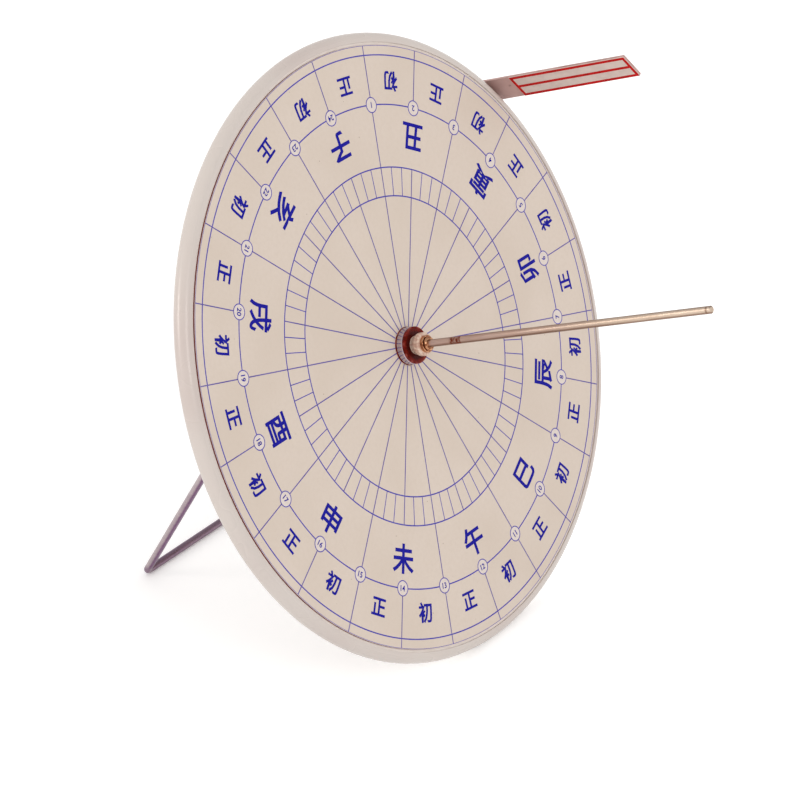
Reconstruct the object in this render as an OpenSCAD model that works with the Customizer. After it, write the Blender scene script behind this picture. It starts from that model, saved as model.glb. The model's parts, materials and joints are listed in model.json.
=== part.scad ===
// Equatorial sundial on a wire stand: a round white dial board with a printed
// dial sheet, a straight gnomon through its hub, a swinging target arm behind
// it and a folding wire bail that holds the board at its lean.
// Row frame: +X towards the six o'clock hour, -Y towards the gnomon's tip, +Z up,
// standing on z = 0. The pieces are drawn in the dial's own frame, where the
// sheet's face is z = 0 and the gnomon runs along +Z, and then stood up together.

/* [Stand] */
// Lean of the dial board back from upright, in degrees
lean = 23; // [15:1:30]
// Distance of the bail's base bar from its hinge line
bail_length = 146; // [142:0.5:170]
// Half of the distance between the two corners of the base bar
base_half = 48.5; // [35:0.1:55]
// Half of the distance between the two places where the legs meet the hinge line
hinge_half = 83; // [78:1:85]
// Height of the hinge line above the dial's centre, along the board
hinge_y = 11.5; // [8:0.5:20]
// Diameter of the bail's wire
wire_d = 3.15; // [2:0.05:3.2]

/* [Dial board] */
// Outer diameter of the board
board_d = 250; // [240:1:260]
// Thickness of the board, whose edge is a half round
board_t = 8; // [7.6:0.1:9]
// Diameter of the printed sheet
sheet_d = 239.2; // [228:0.1:239.2]
// Thickness of the printed sheet
sheet_t = 1.2; // [0.6:0.1:1.4]
// Width of the groove between the sheet and the board's edge
groove_w = 1.2; // [0.4:0.1:1.2]
// Depth of the pockets between the ribs at the back
pocket_depth = 3.6; // [2:0.1:3.8]
// Thickness of a rib at the back
rib_t = 1.8; // [1.2:0.1:3]
// Number of ribs that run out from the hub
rib_count = 12; // [6:2:18]

/* [Hub and gnomon] */
// Diameter of the gnomon rod
rod_d = 3; // [2.5:0.1:3.2]
// Length of the gnomon in front of the sheet
rod_front = 149; // [120:1:170]
// Length of the gnomon behind the sheet
rod_rear = 26; // [22:1:60]
// Diameter of the threaded hub tube
tube_d = 5; // [4.8:0.1:5.4]
// Height of the polished collar's front above the sheet
collar_h = 3.4; // [2.5:0.1:4]
// Diameter of the collar
collar_d = 15; // [12:0.1:16]

/* [Target arm] */
// Angle of the arm above the six o'clock line, in degrees
arm_angle = 34; // [24:1:150]
// Width of the steel strip
strip_w = 12.5; // [8:0.1:14]
// Thickness of the steel strip
strip_t = 0.8; // [0.6:0.1:1.4]
// Distance from the hub's axis to the inner face of the upright strip
strip_r = 127.4; // [127:0.1:140]
// Reach of the strip in front of the sheet
strip_front = 66.5; // [40:0.5:90]
// Length of the white label on the strip
label_l = 59.5; // [40:0.5:62]
// Width of the label
label_w = 12.3; // [7:0.1:12.3]

/* [Hidden] */
$fn = 96;

// Running clearance on a radius
run_c = 0.05;
wire_r = wire_d / 2;
rod_r = rod_d / 2;
tube_r = tube_d / 2;

// The board: its half-round edge, its back and the floor under the sheet
edge_r = board_t / 2;
flat_r = board_d / 2 - edge_r;
back_z = -board_t;
floor_z = back_z + pocket_depth;
recess_r = sheet_d / 2 + groove_w;
rim_wall = 2.6;
pocket_r = flat_r - rim_wall;
rib_rings = [42, 68];
hub_pad_r = 17;
rib_draft = 0.6;

// The stack along the hub's axis, from the front to the back
collar_r = collar_d / 2;
sheet_washer_r = collar_r + 0.15;
sheet_washer_h = 0.4;
washer_t = 0.8;
nut_z0 = collar_h + washer_t;
nut_h = 5;
ring_z = nut_z0 + nut_h;
ring_t = 1.4;
bead_t = 1.1;
nut_flare_r = 4.7;
nut_root_r = 3.7;
arm_z = back_z - washer_t;
arm_back_z = arm_z - strip_t;
arm_washer_z = arm_back_z - washer_t;
spring_t = 1.1;
spring_z = arm_washer_z - spring_t;
lock_nut_t = 4;
lock_nut_z = spring_z - lock_nut_t;
lock_nut_af = 8;
stud_l = 5;
tube_z0 = lock_nut_z - stud_l;
tube_z1 = ring_z - 1.4;

// The bail: hinge line, bends and the opening angle at which its bar meets the table
hinge_z = back_z - 4.5;
bend_r = 4;
corner_r = 3.6;
pin_end = 98.5;
leg = [base_half - hinge_half, bail_length];
leg_dir = leg / norm(leg);
leg_angle = atan2(leg[1], leg[0]);
leg_turn = 180 - leg_angle;
top_cut = bend_r * tan(leg_turn / 2);
low_cut = corner_r * tan(leg_turn / 2);
// A bent wire swells a little, and each straight starts just inside the bend
bend_swell = 0.01;
bend_seat = 0.05;
centre_h = flat_r * cos(lean) + edge_r * sin(lean) + edge_r;
hinge_drop = hinge_y * cos(lean) + hinge_z * sin(lean) + centre_h - wire_r;
open_angle = lean + acos(hinge_drop / bail_length);

// The lugs that carry the bail
lug_x0 = 78;
lug_eye_x = 87.2;
lug_x1 = 97;
foot_half = 11;
foot_t = 2;
foot_corner = 1.5;
eye_r = 4.5;
stop_reach = 9;
stop_t = 3.6;
stop_gap = 0.03;
screw_x = 92;
screw_dy = 7.6;
screw_r = 1.1;
screw_l = 6;
screw_head_r = 2.1;
screw_head_h = 1.1;
slot_w = 0.5;
slot_l = 2.4;

// The stand-up move from the dial's frame to the row frame
tip_y = -(rod_front * cos(lean) + rod_r * sin(lean));
bar_y = (hinge_y - bail_length * cos(open_angle)) * sin(lean)
      - (hinge_z - bail_length * sin(open_angle)) * cos(lean) + wire_r;
mid_y = (tip_y + bar_y) / 2;
echo(open_angle = open_angle, centre_h = centre_h, mid_y = mid_y);

// Moves a piece from the dial's frame to its place in the row frame
module stand_up() {
    translate([0, -mid_y, centre_h]) rotate([90 - lean, 0, 0]) children();
}

// A washer or tube between two heights on the hub's axis
module ring(outer_r, inner_r, z0, z1) {
    translate([0, 0, z0]) difference() {
        cylinder(r = outer_r, h = z1 - z0);
        translate([0, 0, -1]) cylinder(r = inner_r, h = z1 - z0 + 2);
    }
}

// The board's cross-section: half-round edge, recess for the sheet, pockets at the back
module board_section() {
    difference() {
        union() {
            translate([0, back_z]) square([flat_r, board_t]);
            translate([flat_r, -edge_r]) circle(r = edge_r);
        }
        translate([0, -sheet_t]) square([recess_r, sheet_t + 1]);
        board_pocket(hub_pad_r, rib_rings[0]);
        board_pocket(rib_rings[0], rib_rings[1]);
        board_pocket(rib_rings[1], pocket_r + rib_t / 2);
        translate([-flat_r, -board_d / 2]) square([flat_r, board_d]);
    }
}

// One ring-shaped pocket between two rib circles, with drafted walls
module board_pocket(r0, r1) {
    a = r0 + rib_t / 2;
    b = r1 - rib_t / 2;
    polygon([[a, back_z - 1], [b, back_z - 1], [b, back_z], [b - rib_draft, floor_z],
             [a + rib_draft, floor_z], [a, back_z]]);
}

// One straight rib from the hub pad to the rim wall
module board_rib() {
    translate([hub_pad_r - 1, -rib_t / 2, back_z])
        cube([pocket_r - hub_pad_r + 1.6, rib_t, pocket_depth + 0.4]);
}

// The solid pad under a lug's foot, joined to the floor
module lug_pad() {
    translate([lug_x0 - 1, hinge_y - foot_half - 1, back_z])
        cube([lug_x1 - lug_x0 + 3, 2 * foot_half + 2, pocket_depth + 0.4]);
}

// Places its children at both screws of one lug, side is 1 on the right and -1 on the left
module at_screws(side) {
    for (s = [-1, 1])
        translate([side * screw_x, hinge_y + s * screw_dy, back_z - foot_t]) children();
}

module dial_body() {
    color([0.93, 0.92, 0.90]) stand_up() difference() {
        union() {
            rotate_extrude($fn = 180) board_section();
            for (i = [0 : rib_count - 1]) rotate([0, 0, (i + 0.5) * 360 / rib_count]) board_rib();
            lug_pad();
            mirror([1, 0, 0]) lug_pad();
        }
        translate([0, 0, back_z - 1]) cylinder(r = tube_r, h = board_t + 2);
        for (side = [-1, 1]) at_screws(side) cylinder(r = screw_r, h = screw_l, $fn = 24);
    }
}

module dial_sheet() {
    color([0.86, 0.80, 0.74]) stand_up()
        ring(sheet_d / 2, sheet_washer_r + run_c, -sheet_t, 0, $fn = 180);
}

module hub_tube() {
    color([0.80, 0.62, 0.30]) stand_up() ring(tube_r, rod_r + run_c, tube_z0, tube_z1);
}

// Fibre washer in the sheet's hole, which carries the collar a little above the print
module sheet_washer() {
    color([0.30, 0.07, 0.07]) stand_up()
        ring(sheet_washer_r, tube_r + run_c, -sheet_t, sheet_washer_h);
}

// Turned and polished collar with broken edges
module hub_collar() {
    edge = 0.3;
    color([0.70, 0.64, 0.68]) stand_up() rotate_extrude() difference() {
        polygon([[0, sheet_washer_h], [collar_r - edge, sheet_washer_h],
                 [collar_r, sheet_washer_h + edge], [collar_r, collar_h - edge],
                 [collar_r - edge, collar_h], [0, collar_h]]);
        translate([-1, 0]) square([tube_r + run_c + 1, collar_h + 1]);
    }
}

module front_washer() {
    color([0.36, 0.10, 0.06]) stand_up()
        ring(collar_r - 0.1, tube_r + run_c, collar_h, nut_z0);
}

// White clamp nut, waisted at its root and chamfered at its mouth
module thumb_nut() {
    mouth_r = 2.6;
    color([0.92, 0.88, 0.80]) stand_up() rotate_extrude() difference() {
        union() {
            translate([0, nut_z0]) square([nut_root_r, nut_h / 2]);
            polygon([[0, nut_z0 + 0.5], [nut_root_r, nut_z0 + 0.5], [nut_flare_r, nut_z0 + 2.8],
                     [nut_flare_r, ring_z - 0.6], [nut_flare_r - 0.5, ring_z], [0, ring_z]]);
        }
        translate([-1, nut_z0 - 1]) square([tube_r + run_c + 1, nut_h + 2]);
        translate([0, ring_z - 0.4]) square([mouth_r, 1]);
        translate([-flat_r, -flat_r]) square([flat_r, 2 * flat_r]);
    }
}

// Brass ring in the nut's mouth, with a groove round the bead that guides the rod
module collet_ring() {
    ring_r = 3.45;
    bead_r = 2.8;
    ring_edge = 0.2;
    bead_edge = 0.6;
    color([0.74, 0.56, 0.34]) stand_up() rotate_extrude() difference() {
        union() {
            translate([0, tube_z1 + 0.1]) square([tube_r, ring_z - tube_z1]);
            translate([0, ring_z]) square([ring_r - ring_edge, ring_t]);
            translate([0, ring_z]) square([ring_r, ring_t - ring_edge]);
            translate([ring_r - ring_edge, ring_z + ring_t - ring_edge])
                circle(r = ring_edge, $fn = 24);
            translate([0, ring_z]) square([bead_r, ring_t + bead_t - bead_edge]);
            translate([0, ring_z]) square([bead_r - bead_edge, ring_t + bead_t]);
            translate([bead_r - bead_edge, ring_z + ring_t + bead_t - bead_edge])
                circle(r = bead_edge, $fn = 32);
        }
        translate([bead_r, ring_z + ring_t - 0.5]) square([0.3, 1]);
        translate([-1, nut_z0]) square([rod_r + run_c + 1, nut_h + 10]);
        translate([-flat_r, -flat_r]) square([flat_r, 2 * flat_r]);
    }
}

module gnomon_rod() {
    chamfer = 0.35;
    color([0.78, 0.66, 0.52]) stand_up() {
        translate([0, 0, -rod_rear + chamfer])
            cylinder(r = rod_r, h = rod_front + rod_rear - 2 * chamfer);
        translate([0, 0, rod_front - chamfer])
            cylinder(r1 = rod_r, r2 = rod_r - chamfer, h = chamfer);
        translate([0, 0, -rod_rear])
            cylinder(r1 = rod_r - chamfer, r2 = rod_r, h = chamfer);
    }
}

module rear_washer() {
    color([0.36, 0.10, 0.06]) stand_up() ring(9, tube_r + run_c, arm_z, back_z);
}

// The strip seen from its edge: out from the hub, round one bend and forward
module strip_profile(length_front) {
    inner_r = 2;
    outer_r = inner_r + strip_t;
    bend_x = strip_r - inner_r;
    bend_z = arm_z + inner_r;
    translate([0, arm_back_z]) square([bend_x, strip_t]);
    translate([strip_r, bend_z]) square([strip_t, length_front - bend_z]);
    intersection() {
        difference() {
            translate([bend_x, bend_z]) circle(r = outer_r);
            translate([bend_x, bend_z]) circle(r = inner_r);
        }
        translate([bend_x, bend_z - outer_r]) square(outer_r);
    }
}

module target_arm() {
    eye_out_r = 9;
    corner = 0.5;
    color([0.63, 0.52, 0.50]) stand_up() rotate([0, 0, arm_angle]) difference() {
        union() {
            translate([0, strip_w / 2, 0]) rotate([90, 0, 0])
                linear_extrude(strip_w) strip_profile(strip_front - corner);
            translate([0, strip_w / 2 - corner, 0]) rotate([90, 0, 0])
                linear_extrude(strip_w - 2 * corner) strip_profile(strip_front);
            for (s = [-1, 1])
                translate([strip_r, s * (strip_w / 2 - corner), strip_front - corner])
                    rotate([0, 90, 0]) cylinder(r = corner, h = strip_t, $fn = 32);
            translate([0, 0, arm_back_z]) cylinder(r = eye_out_r, h = strip_t);
        }
        translate([0, 0, arm_back_z - 1]) cylinder(r = tube_r + run_c, h = strip_t + 2);
    }
}

module target_label() {
    card_t = 0.3;
    end_gap = 0.15;
    color([0.86, 0.82, 0.78]) stand_up() rotate([0, 0, arm_angle])
        translate([strip_r - card_t, -label_w / 2, strip_front - label_l - end_gap])
            cube([card_t, label_w, label_l]);
}

module arm_washer() {
    color([0.72, 0.72, 0.74]) stand_up() ring(6.5, tube_r + run_c, arm_washer_z, arm_back_z);
}

// Split spring washer
module spring_washer() {
    split_w = 0.8;
    color([0.60, 0.60, 0.63]) stand_up() difference() {
        ring(4.4, tube_r + run_c, spring_z, arm_washer_z);
        translate([0, -split_w / 2, spring_z - 1]) cube([6, split_w, spring_t + 2]);
    }
}

// Hexagon nut with chamfered corners
module lock_nut() {
    corner_r6 = lock_nut_af / 2 / cos(30);
    color([0.78, 0.62, 0.34]) stand_up() difference() {
        translate([0, 0, lock_nut_z]) intersection() {
            cylinder(r = corner_r6, h = lock_nut_t, $fn = 6);
            union() {
                cylinder(r1 = lock_nut_af / 2, r2 = corner_r6 + 0.1, h = 0.5);
                translate([0, 0, 0.5]) cylinder(r = corner_r6 + 0.1, h = lock_nut_t - 0.5);
            }
        }
        translate([0, 0, lock_nut_z - 1]) cylinder(r = tube_r, h = lock_nut_t + 2);
    }
}

// Straight stretch of wire between two points of the bail's own plane, which
// reaches a hair into the bend at each end
module wire_run(p, q) {
    d = q - p;
    translate([p[0], p[1], 0]) rotate([0, 0, atan2(d[1], d[0])]) translate([-bend_seat, 0, 0])
        rotate([0, 90, 0]) cylinder(r = wire_r, h = norm(d) + 2 * bend_seat, $fn = 32);
}

// Bend of wire round a centre, between two angles of the bail's own plane
module wire_bend(centre, radius, from, sweep) {
    translate([centre[0], centre[1], 0]) rotate([0, 0, from]) rotate_extrude(angle = sweep, $fn = 64)
        translate([radius, 0]) circle(r = wire_r + bend_swell, $fn = 32);
}

// One side of the bail, flat in its own plane: hinge pin, bend, leg and corner
module bail_side() {
    top_node = [hinge_half, 0];
    low_node = [base_half, bail_length];
    wire_run([pin_end, 0], [hinge_half + top_cut, 0]);
    wire_bend([hinge_half + top_cut, bend_r], bend_r, leg_angle + 90, leg_turn);
    wire_run(top_node + leg_dir * top_cut, low_node - leg_dir * low_cut);
    wire_bend([base_half - low_cut, bail_length - corner_r], corner_r, leg_angle - 90, leg_turn);
}

module bail_wire() {
    bar_half = base_half - low_cut;
    color([0.62, 0.58, 0.60]) stand_up() translate([0, hinge_y, hinge_z])
        rotate([180 + open_angle, 0, 0]) {
            bail_side();
            mirror([1, 0, 0]) bail_side();
            wire_run([-bar_half, bail_length], [bar_half, bail_length]);
        }
}

// The lug's outline from the side: a foot under a round eye
module lug_side() {
    translate([hinge_y, hinge_z]) circle(r = eye_r);
    translate([hinge_y - eye_r, hinge_z]) square([2 * eye_r, back_z - foot_t - hinge_z + 0.1]);
}

// The stop beside the eye: its lower face lies along the open leg
module stop_side() {
    along = [-cos(open_angle), -sin(open_angle)];
    outward = [sin(open_angle), -cos(open_angle)];
    pivot = [hinge_y, hinge_z];
    near = wire_r + stop_gap;
    polygon([pivot + outward * near, pivot + along * stop_reach + outward * near,
             pivot + along * stop_reach + outward * (near + 1.6),
             pivot + along * (stop_reach - 2) + outward * (near + stop_t),
             [hinge_y + foot_half - 1, back_z - foot_t / 2],
             [hinge_y + wire_r + 1.2, back_z - foot_t / 2]]);
}

// Flat foot of a lug, with rounded corners
module lug_foot() {
    w = lug_x1 - lug_x0;
    l = 2 * foot_half;
    translate([lug_x0, hinge_y - foot_half, back_z - foot_t]) {
        translate([foot_corner, 0, 0]) cube([w - 2 * foot_corner, l, foot_t]);
        translate([0, foot_corner, 0]) cube([w, l - 2 * foot_corner, foot_t]);
        for (x = [foot_corner, w - foot_corner], y = [foot_corner, l - foot_corner])
            translate([x, y, 0]) cylinder(r = foot_corner, h = foot_t, $fn = 32);
    }
}

// Bail lug on the right side, with its foot, eye and stop
module lug() {
    stop_w = lug_eye_x - lug_x0;
    difference() {
        union() {
            lug_foot();
            translate([lug_eye_x, 0, 0]) rotate([90, 0, 90])
                linear_extrude(lug_x1 - lug_eye_x) lug_side();
            translate([lug_x0, 0, 0]) rotate([90, 0, 90]) linear_extrude(stop_w + 0.5) stop_side();
        }
        translate([lug_x0 - 1, hinge_y, hinge_z]) rotate([0, 90, 0])
            cylinder(r = wire_r + run_c, h = lug_x1 - lug_x0 + 2, $fn = 48);
        at_screws(1) {
            translate([0, 0, -1]) cylinder(r = screw_r + 0.2, h = foot_t + 2, $fn = 24);
            translate([0, 0, -0.01])
                cylinder(r1 = screw_head_r + 0.11, r2 = screw_r + 0.1, h = screw_head_h + 0.01, $fn = 32);
        }
    }
}

module right_lug() {
    color([0.90, 0.89, 0.87]) stand_up() lug();
}

module left_lug() {
    color([0.90, 0.89, 0.87]) stand_up() mirror([1, 0, 0]) lug();
}

// Countersunk screws through the lugs' feet into the board
module lug_screws() {
    color([0.70, 0.70, 0.72]) stand_up() for (side = [-1, 1]) at_screws(side) difference() {
        union() {
            cylinder(r1 = screw_head_r, r2 = screw_r, h = screw_head_h, $fn = 32);
            cylinder(r = screw_r, h = screw_l, $fn = 24);
        }
        for (a = [0, 90]) rotate([0, 0, a]) translate([-slot_l / 2, -slot_w / 2, -0.1])
            cube([slot_l, slot_w, 0.7]);
    }
}

dial_body();
dial_sheet();
hub_tube();
sheet_washer();
hub_collar();
front_washer();
thumb_nut();
collet_ring();
gnomon_rod();
rear_washer();
target_arm();
target_label();
arm_washer();
spring_washer();
lock_nut();
bail_wire();
left_lug();
right_lug();
lug_screws();
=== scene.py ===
"""Looks of a round equatorial sundial: printed dial, dull brass gnomon, target arm and wire stand.

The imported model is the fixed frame. This script dresses its pieces with the finish of the
real ones, and adds what has no place in the solids: the printed lines, hour marks and
numbers on the dial, the glue round its sheet, the red lines on the target label and the
thread of the hub tube.
All shapes are in metres in the row frame. Sizes of the print are in millimetres in the
dial's own frame, where the sheet's face is z = 0 and the gnomon runs along +Z.
"""

import json
import logging
import math
from dataclasses import dataclass, field
from enum import Enum
from typing import Any, Iterable, Optional, Sequence

import bmesh
import bpy
from mathutils import Matrix, Vector

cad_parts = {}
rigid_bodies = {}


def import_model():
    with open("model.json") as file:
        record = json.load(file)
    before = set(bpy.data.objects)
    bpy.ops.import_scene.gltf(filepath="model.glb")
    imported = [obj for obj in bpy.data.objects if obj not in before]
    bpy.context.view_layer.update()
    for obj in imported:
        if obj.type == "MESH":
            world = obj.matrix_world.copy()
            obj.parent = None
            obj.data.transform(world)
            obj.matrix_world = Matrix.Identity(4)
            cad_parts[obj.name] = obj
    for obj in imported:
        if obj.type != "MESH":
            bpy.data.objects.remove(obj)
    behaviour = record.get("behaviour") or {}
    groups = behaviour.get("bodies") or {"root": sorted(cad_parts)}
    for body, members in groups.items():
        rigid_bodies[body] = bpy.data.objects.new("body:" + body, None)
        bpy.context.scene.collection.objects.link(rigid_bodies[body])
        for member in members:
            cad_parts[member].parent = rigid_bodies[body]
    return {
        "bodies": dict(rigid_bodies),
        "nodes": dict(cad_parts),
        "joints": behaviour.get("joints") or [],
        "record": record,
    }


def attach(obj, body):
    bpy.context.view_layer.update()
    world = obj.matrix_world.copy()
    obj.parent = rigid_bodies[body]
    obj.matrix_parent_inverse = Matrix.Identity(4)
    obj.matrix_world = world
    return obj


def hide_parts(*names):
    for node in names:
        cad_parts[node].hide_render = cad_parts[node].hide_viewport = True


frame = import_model()

log = logging.getLogger("sundial")

MM = 0.001
HOURS = 24
WHITE = (1.0, 1.0, 1.0, 1.0)
# Points of a character nearer to each other than this, in mm, become one
SEAM_MM = 1e-4
# Values of the noise between which the drift's colour and the roughness go from least to most
DRIFT_SPAN = (0.35, 0.7)
ROUGH_SPAN = (0.3, 0.7)

Tree = bpy.types.NodeTree
Socket = bpy.types.NodeSocket


def linear(hex_colour: str) -> tuple[float, float, float, float]:
    """Turns an sRGB hex colour into linear values.

    Args:
        hex_colour: Six hex digits, such as "dacbbe".

    Returns:
        Red, green, blue and an alpha of 1.
    """
    parts = [int(hex_colour[i : i + 2], 16) / 255 for i in (0, 2, 4)]
    toned = [c / 12.92 if c <= 0.04045 else ((c + 0.055) / 1.055) ** 2.4 for c in parts]
    return toned[0], toned[1], toned[2], 1.0


def per_mm(size_mm: float) -> float:
    """Gives the scale at which a pattern's features measure size_mm, for coordinates in metres."""
    return 1 / (size_mm * MM)


class Kind(Enum):
    """Kinds of shader node in use, with the settings that each always has here."""

    COORDS = ("ShaderNodeTexCoord", {})
    RAYS = ("ShaderNodeLightPath", {})
    TO_FRAME = ("ShaderNodeMapping", {"vector_type": "TEXTURE"})
    STRETCH = ("ShaderNodeMapping", {"vector_type": "POINT"})
    SPLIT = ("ShaderNodeSeparateXYZ", {})
    NOISE = ("ShaderNodeTexNoise", {})
    CELLS = ("ShaderNodeTexVoronoi", {})
    SLOPE = ("ShaderNodeMapRange", {"interpolation_type": "LINEAR"})
    SOFT_STEP = ("ShaderNodeMapRange", {"interpolation_type": "SMOOTHSTEP"})
    NUMBER_MIX = ("ShaderNodeMix", {"data_type": "FLOAT"})
    COLOUR_MIX = ("ShaderNodeMix", {"data_type": "RGBA"})
    PLUS = ("ShaderNodeMath", {"operation": "ADD"})
    MINUS = ("ShaderNodeMath", {"operation": "SUBTRACT"})
    TIMES = ("ShaderNodeMath", {"operation": "MULTIPLY"})
    TIMES_PLUS = ("ShaderNodeMath", {"operation": "MULTIPLY_ADD"})
    SIZE = ("ShaderNodeMath", {"operation": "ABSOLUTE"})
    LARGER = ("ShaderNodeMath", {"operation": "MAXIMUM"})
    VECTOR_TIMES = ("ShaderNodeVectorMath", {"operation": "MULTIPLY"})
    ALONG = ("ShaderNodeVectorMath", {"operation": "DOT_PRODUCT"})
    LENGTH = ("ShaderNodeVectorMath", {"operation": "LENGTH"})
    BUMP = ("ShaderNodeBump", {})


def add_node(
    tree: Tree, kind: Kind, inputs: Optional[dict[Any, Any]] = None, output: str = ""
) -> Socket:
    """Adds a shader node with its settings and links.

    Args:
        tree: Node tree that gets the node.
        kind: What the node does.
        inputs: Name or number of an input in use, to a plain value or the socket that feeds it.
        output: Name of the wanted output, or nothing for the first that is in use.

    Returns:
        The wanted output.
    """
    identifier, settings = kind.value
    node = tree.nodes.new(identifier)
    for name, value in settings.items():
        setattr(node, name, value)
    in_use = [socket for socket in node.inputs if socket.enabled]
    for key, value in (inputs or {}).items():
        index = key if isinstance(key, int) else [socket.name for socket in in_use].index(key)
        if isinstance(value, Socket):
            tree.links.new(value, in_use[index])
        else:
            in_use[index].default_value = value
    outputs = [socket for socket in node.outputs if socket.enabled]
    return next(socket for socket in outputs if output in ("", socket.name))


class Body(Enum):
    """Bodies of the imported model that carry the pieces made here."""

    BOARD = "board"
    TARGET = "target"


class HourMark(Enum):
    """Traditional marks of the double hours, with the hour at the middle of each."""

    ZI = ("子", 24)
    CHOU = ("丑", 2)
    YIN = ("寅", 4)
    MAO = ("卯", 6)
    CHEN = ("辰", 8)
    SI = ("巳", 10)
    WU = ("午", 12)
    WEI = ("未", 14)
    SHEN = ("申", 16)
    YOU = ("酉", 18)
    XU = ("戌", 20)
    HAI = ("亥", 22)


class HalfMark(Enum):
    """Marks of the first and the second half of a double hour."""

    FIRST = "初"
    SECOND = "正"


@dataclass(frozen=True)
class DialFrame:
    """The dial's own frame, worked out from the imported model.

    Attributes:
        origin: Centre of the sheet's face, in metres.
        x_axis: Towards the six o'clock hour.
        y_axis: Up along the board.
        z_axis: Along the gnomon, out of the sheet.
    """

    origin: Vector
    x_axis: Vector
    y_axis: Vector
    z_axis: Vector

    @classmethod
    def from_model(cls, model: dict[str, Any]) -> "DialFrame":
        """Finds the frame from the arm's joint and the printed sheet.


        Returns:
            The dial's frame.
        """
        swing = next(j for j in model["joints"] if j["name"] == "target_swing")
        z_axis = Vector(swing["axis"]).normalized()
        x_axis = Vector((1.0, 0.0, 0.0))
        pivot = Vector(swing["pos_m"])
        sheet = model["nodes"]["dial_sheet"].data
        face_height = max(v.co.dot(z_axis) for v in sheet.vertices)
        origin = pivot + z_axis * (face_height - pivot.dot(z_axis))
        return cls(origin, x_axis, z_axis.cross(x_axis), z_axis)

    def matrix(self) -> Matrix:
        """Gives the move from millimetres of the dial's frame to metres of the row frame."""
        turn = self.rotation().to_4x4()
        return Matrix.Translation(self.origin) @ turn @ Matrix.Scale(MM, 4)

    def rotation(self) -> Matrix:
        """Gives the turn from the dial's axes to the row axes."""
        return Matrix((self.x_axis, self.y_axis, self.z_axis)).transposed()


def hour_angle(hour: float) -> float:
    """Gives the angle of an hour on the dial, in radians from +X, counted against the clock."""
    return math.radians(90 - 360 / HOURS * hour)


def on_circle(radius: float, hour: float) -> tuple[float, float]:
    """Gives the point of a circle round the dial's centre at which an hour stands."""
    angle = hour_angle(hour)
    return radius * math.cos(angle), radius * math.sin(angle)


@dataclass
class SlabMesh:
    """Closed flat shapes, gathered into one mesh.

    Attributes:
        low: Height of the underside, in mm of the dial's frame.
        high: Height of the upper side.
        verts: Points gathered so far.
        faces: Faces gathered so far, as numbers of points.
    """

    low: float
    high: float
    verts: list[tuple[float, float, float]] = field(default_factory=list)
    faces: list[tuple[int, ...]] = field(default_factory=list)

    def prism(self, outline: Sequence[tuple[float, float]]) -> None:
        """Adds a prism over a convex outline.

        Args:
            outline: Its corners, against the clock.
        """
        first, count = len(self.verts), len(outline)
        self.verts += [(x, y, z) for z in (self.low, self.high) for x, y in outline]
        self.faces.append(tuple(first + i for i in reversed(range(count))))
        self.faces.append(tuple(first + count + i for i in range(count)))
        for i in range(count):
            j = (i + 1) % count
            self.faces.append((first + i, first + j, first + count + j, first + count + i))

    def bar(self, start: tuple[float, float], end: tuple[float, float], width: float) -> None:
        """Adds a straight line.

        Args:
            start: Middle of its one end.
            end: Middle of its other end.
            width: Its width.
        """
        a, b = Vector(start), Vector(end)
        side = (b - a).normalized().orthogonal() * width / 2
        self.prism([tuple(p) for p in (a - side, b - side, b + side, a + side)])

    def spoke(self, angle: float, inner: float, outer: float, width: float) -> None:
        """Adds a line that runs out from the centre.

        Args:
            angle: Its direction, in radians.
            inner: Radius at which it starts.
            outer: Radius at which it ends.
            width: Its width.
        """
        way = Vector((math.cos(angle), math.sin(angle)))
        self.bar(tuple(way * inner), tuple(way * outer), width)

    def arc(
        self, radius: float, width: float, start: float, sweep: float, steps: int,
        centre: tuple[float, float] = (0.0, 0.0),
    ) -> None:
        """Adds a curved line, closed into a ring where the sweep is a full turn.

        Args:
            radius: Radius of the line's middle.
            width: Width of the line.
            start: First angle, in radians.
            sweep: Angle that it covers.
            steps: Straight pieces that it is made of.
            centre: Centre of the curve.
        """
        full = math.isclose(sweep, math.tau)
        count = steps if full else steps + 1
        first = len(self.verts)
        for i in range(count):
            c, s = (f(start + sweep * i / steps) for f in (math.cos, math.sin))
            for r, z in self._section(radius, width):
                self.verts.append((centre[0] + r * c, centre[1] + r * s, z))
        for i in range(steps):
            a, b = first + 4 * i, first + 4 * ((i + 1) % count)
            for k in range(4):
                n = (k + 1) % 4
                self.faces.append((a + k, a + n, b + n, b + k))
        if not full:
            last = first + 4 * steps
            self.faces.append((first + 3, first + 2, first + 1, first))
            self.faces.append((last, last + 1, last + 2, last + 3))

    def _section(self, radius: float, width: float) -> list[tuple[float, float]]:
        """Gives the corners of a curved line's section.

        Args:
            radius: Radius of the line's middle.
            width: Width of the line.

        Returns:
            Radius and height of the four corners, in order round the section.
        """
        inner, outer = radius - width / 2, radius + width / 2
        return [(inner, self.low), (inner, self.high), (outer, self.high), (outer, self.low)]

    def disc(self, centre: tuple[float, float], radius: float, steps: int) -> None:
        """Adds a round plate.

        Args:
            centre: Its middle.
            radius: Its radius.
            steps: Corners that stand for its circle.
        """
        self.prism([
            (centre[0] + radius * math.cos(math.tau * i / steps),
             centre[1] + radius * math.sin(math.tau * i / steps))
            for i in range(steps)
        ])

    def build(self, name: str, place: Matrix) -> bpy.types.Object:
        """Turns the gathered shapes into an object.

        Args:
            name: Name of the piece.
            place: Move from the slab's millimetres to the row frame.

        Returns:
            The new object, with its place in its mesh.
        """
        mesh = bpy.data.meshes.new(name)
        mesh.from_pydata(self.verts, [], self.faces)
        mesh.transform(place)
        return link_mesh(name, mesh)


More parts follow.
